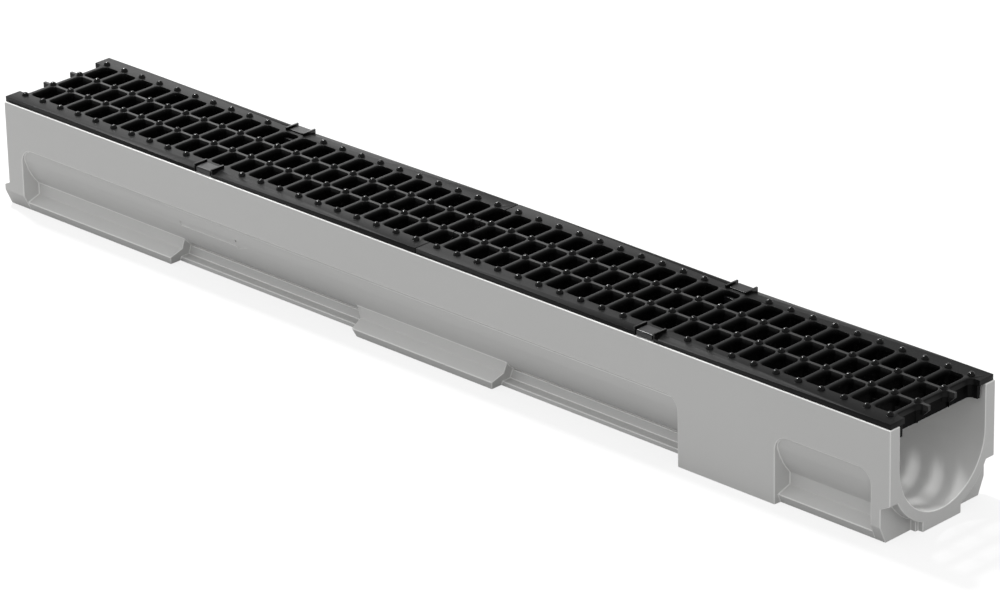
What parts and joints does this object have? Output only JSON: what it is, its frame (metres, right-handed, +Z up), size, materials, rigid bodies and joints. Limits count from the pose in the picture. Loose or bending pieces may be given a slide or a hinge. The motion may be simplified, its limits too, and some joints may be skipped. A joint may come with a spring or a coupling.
{
  "type": "channel drain",
  "caption": "Line drainage channel with a round trough, feet and tongue ends, covered by studded mesh gratings that are held by locking clips.",
  "frame": {"origin": "middle of the channel's underside, halfway between its two end faces", "axes": "+X along the channel towards the end with the recess, +Y across it, +Z up out of the bed"},
  "size_m": [1.006, 0.1226, 0.106],
  "materials": {
    "concrete": "cast polymer concrete, light grey, fine and matte",
    "grating": "ductile iron with a thin black coating, satin",
    "clip": "black moulded plastic, satin"
  },
  "bodies": {
    "root": {"channel_body": "concrete", "grating_left": "grating", "grating_right": "grating", "clip_left_far": "clip", "clip_left_near": "clip", "clip_right_far": "clip", "clip_right_near": "clip"}
  },
  "joints": []
}
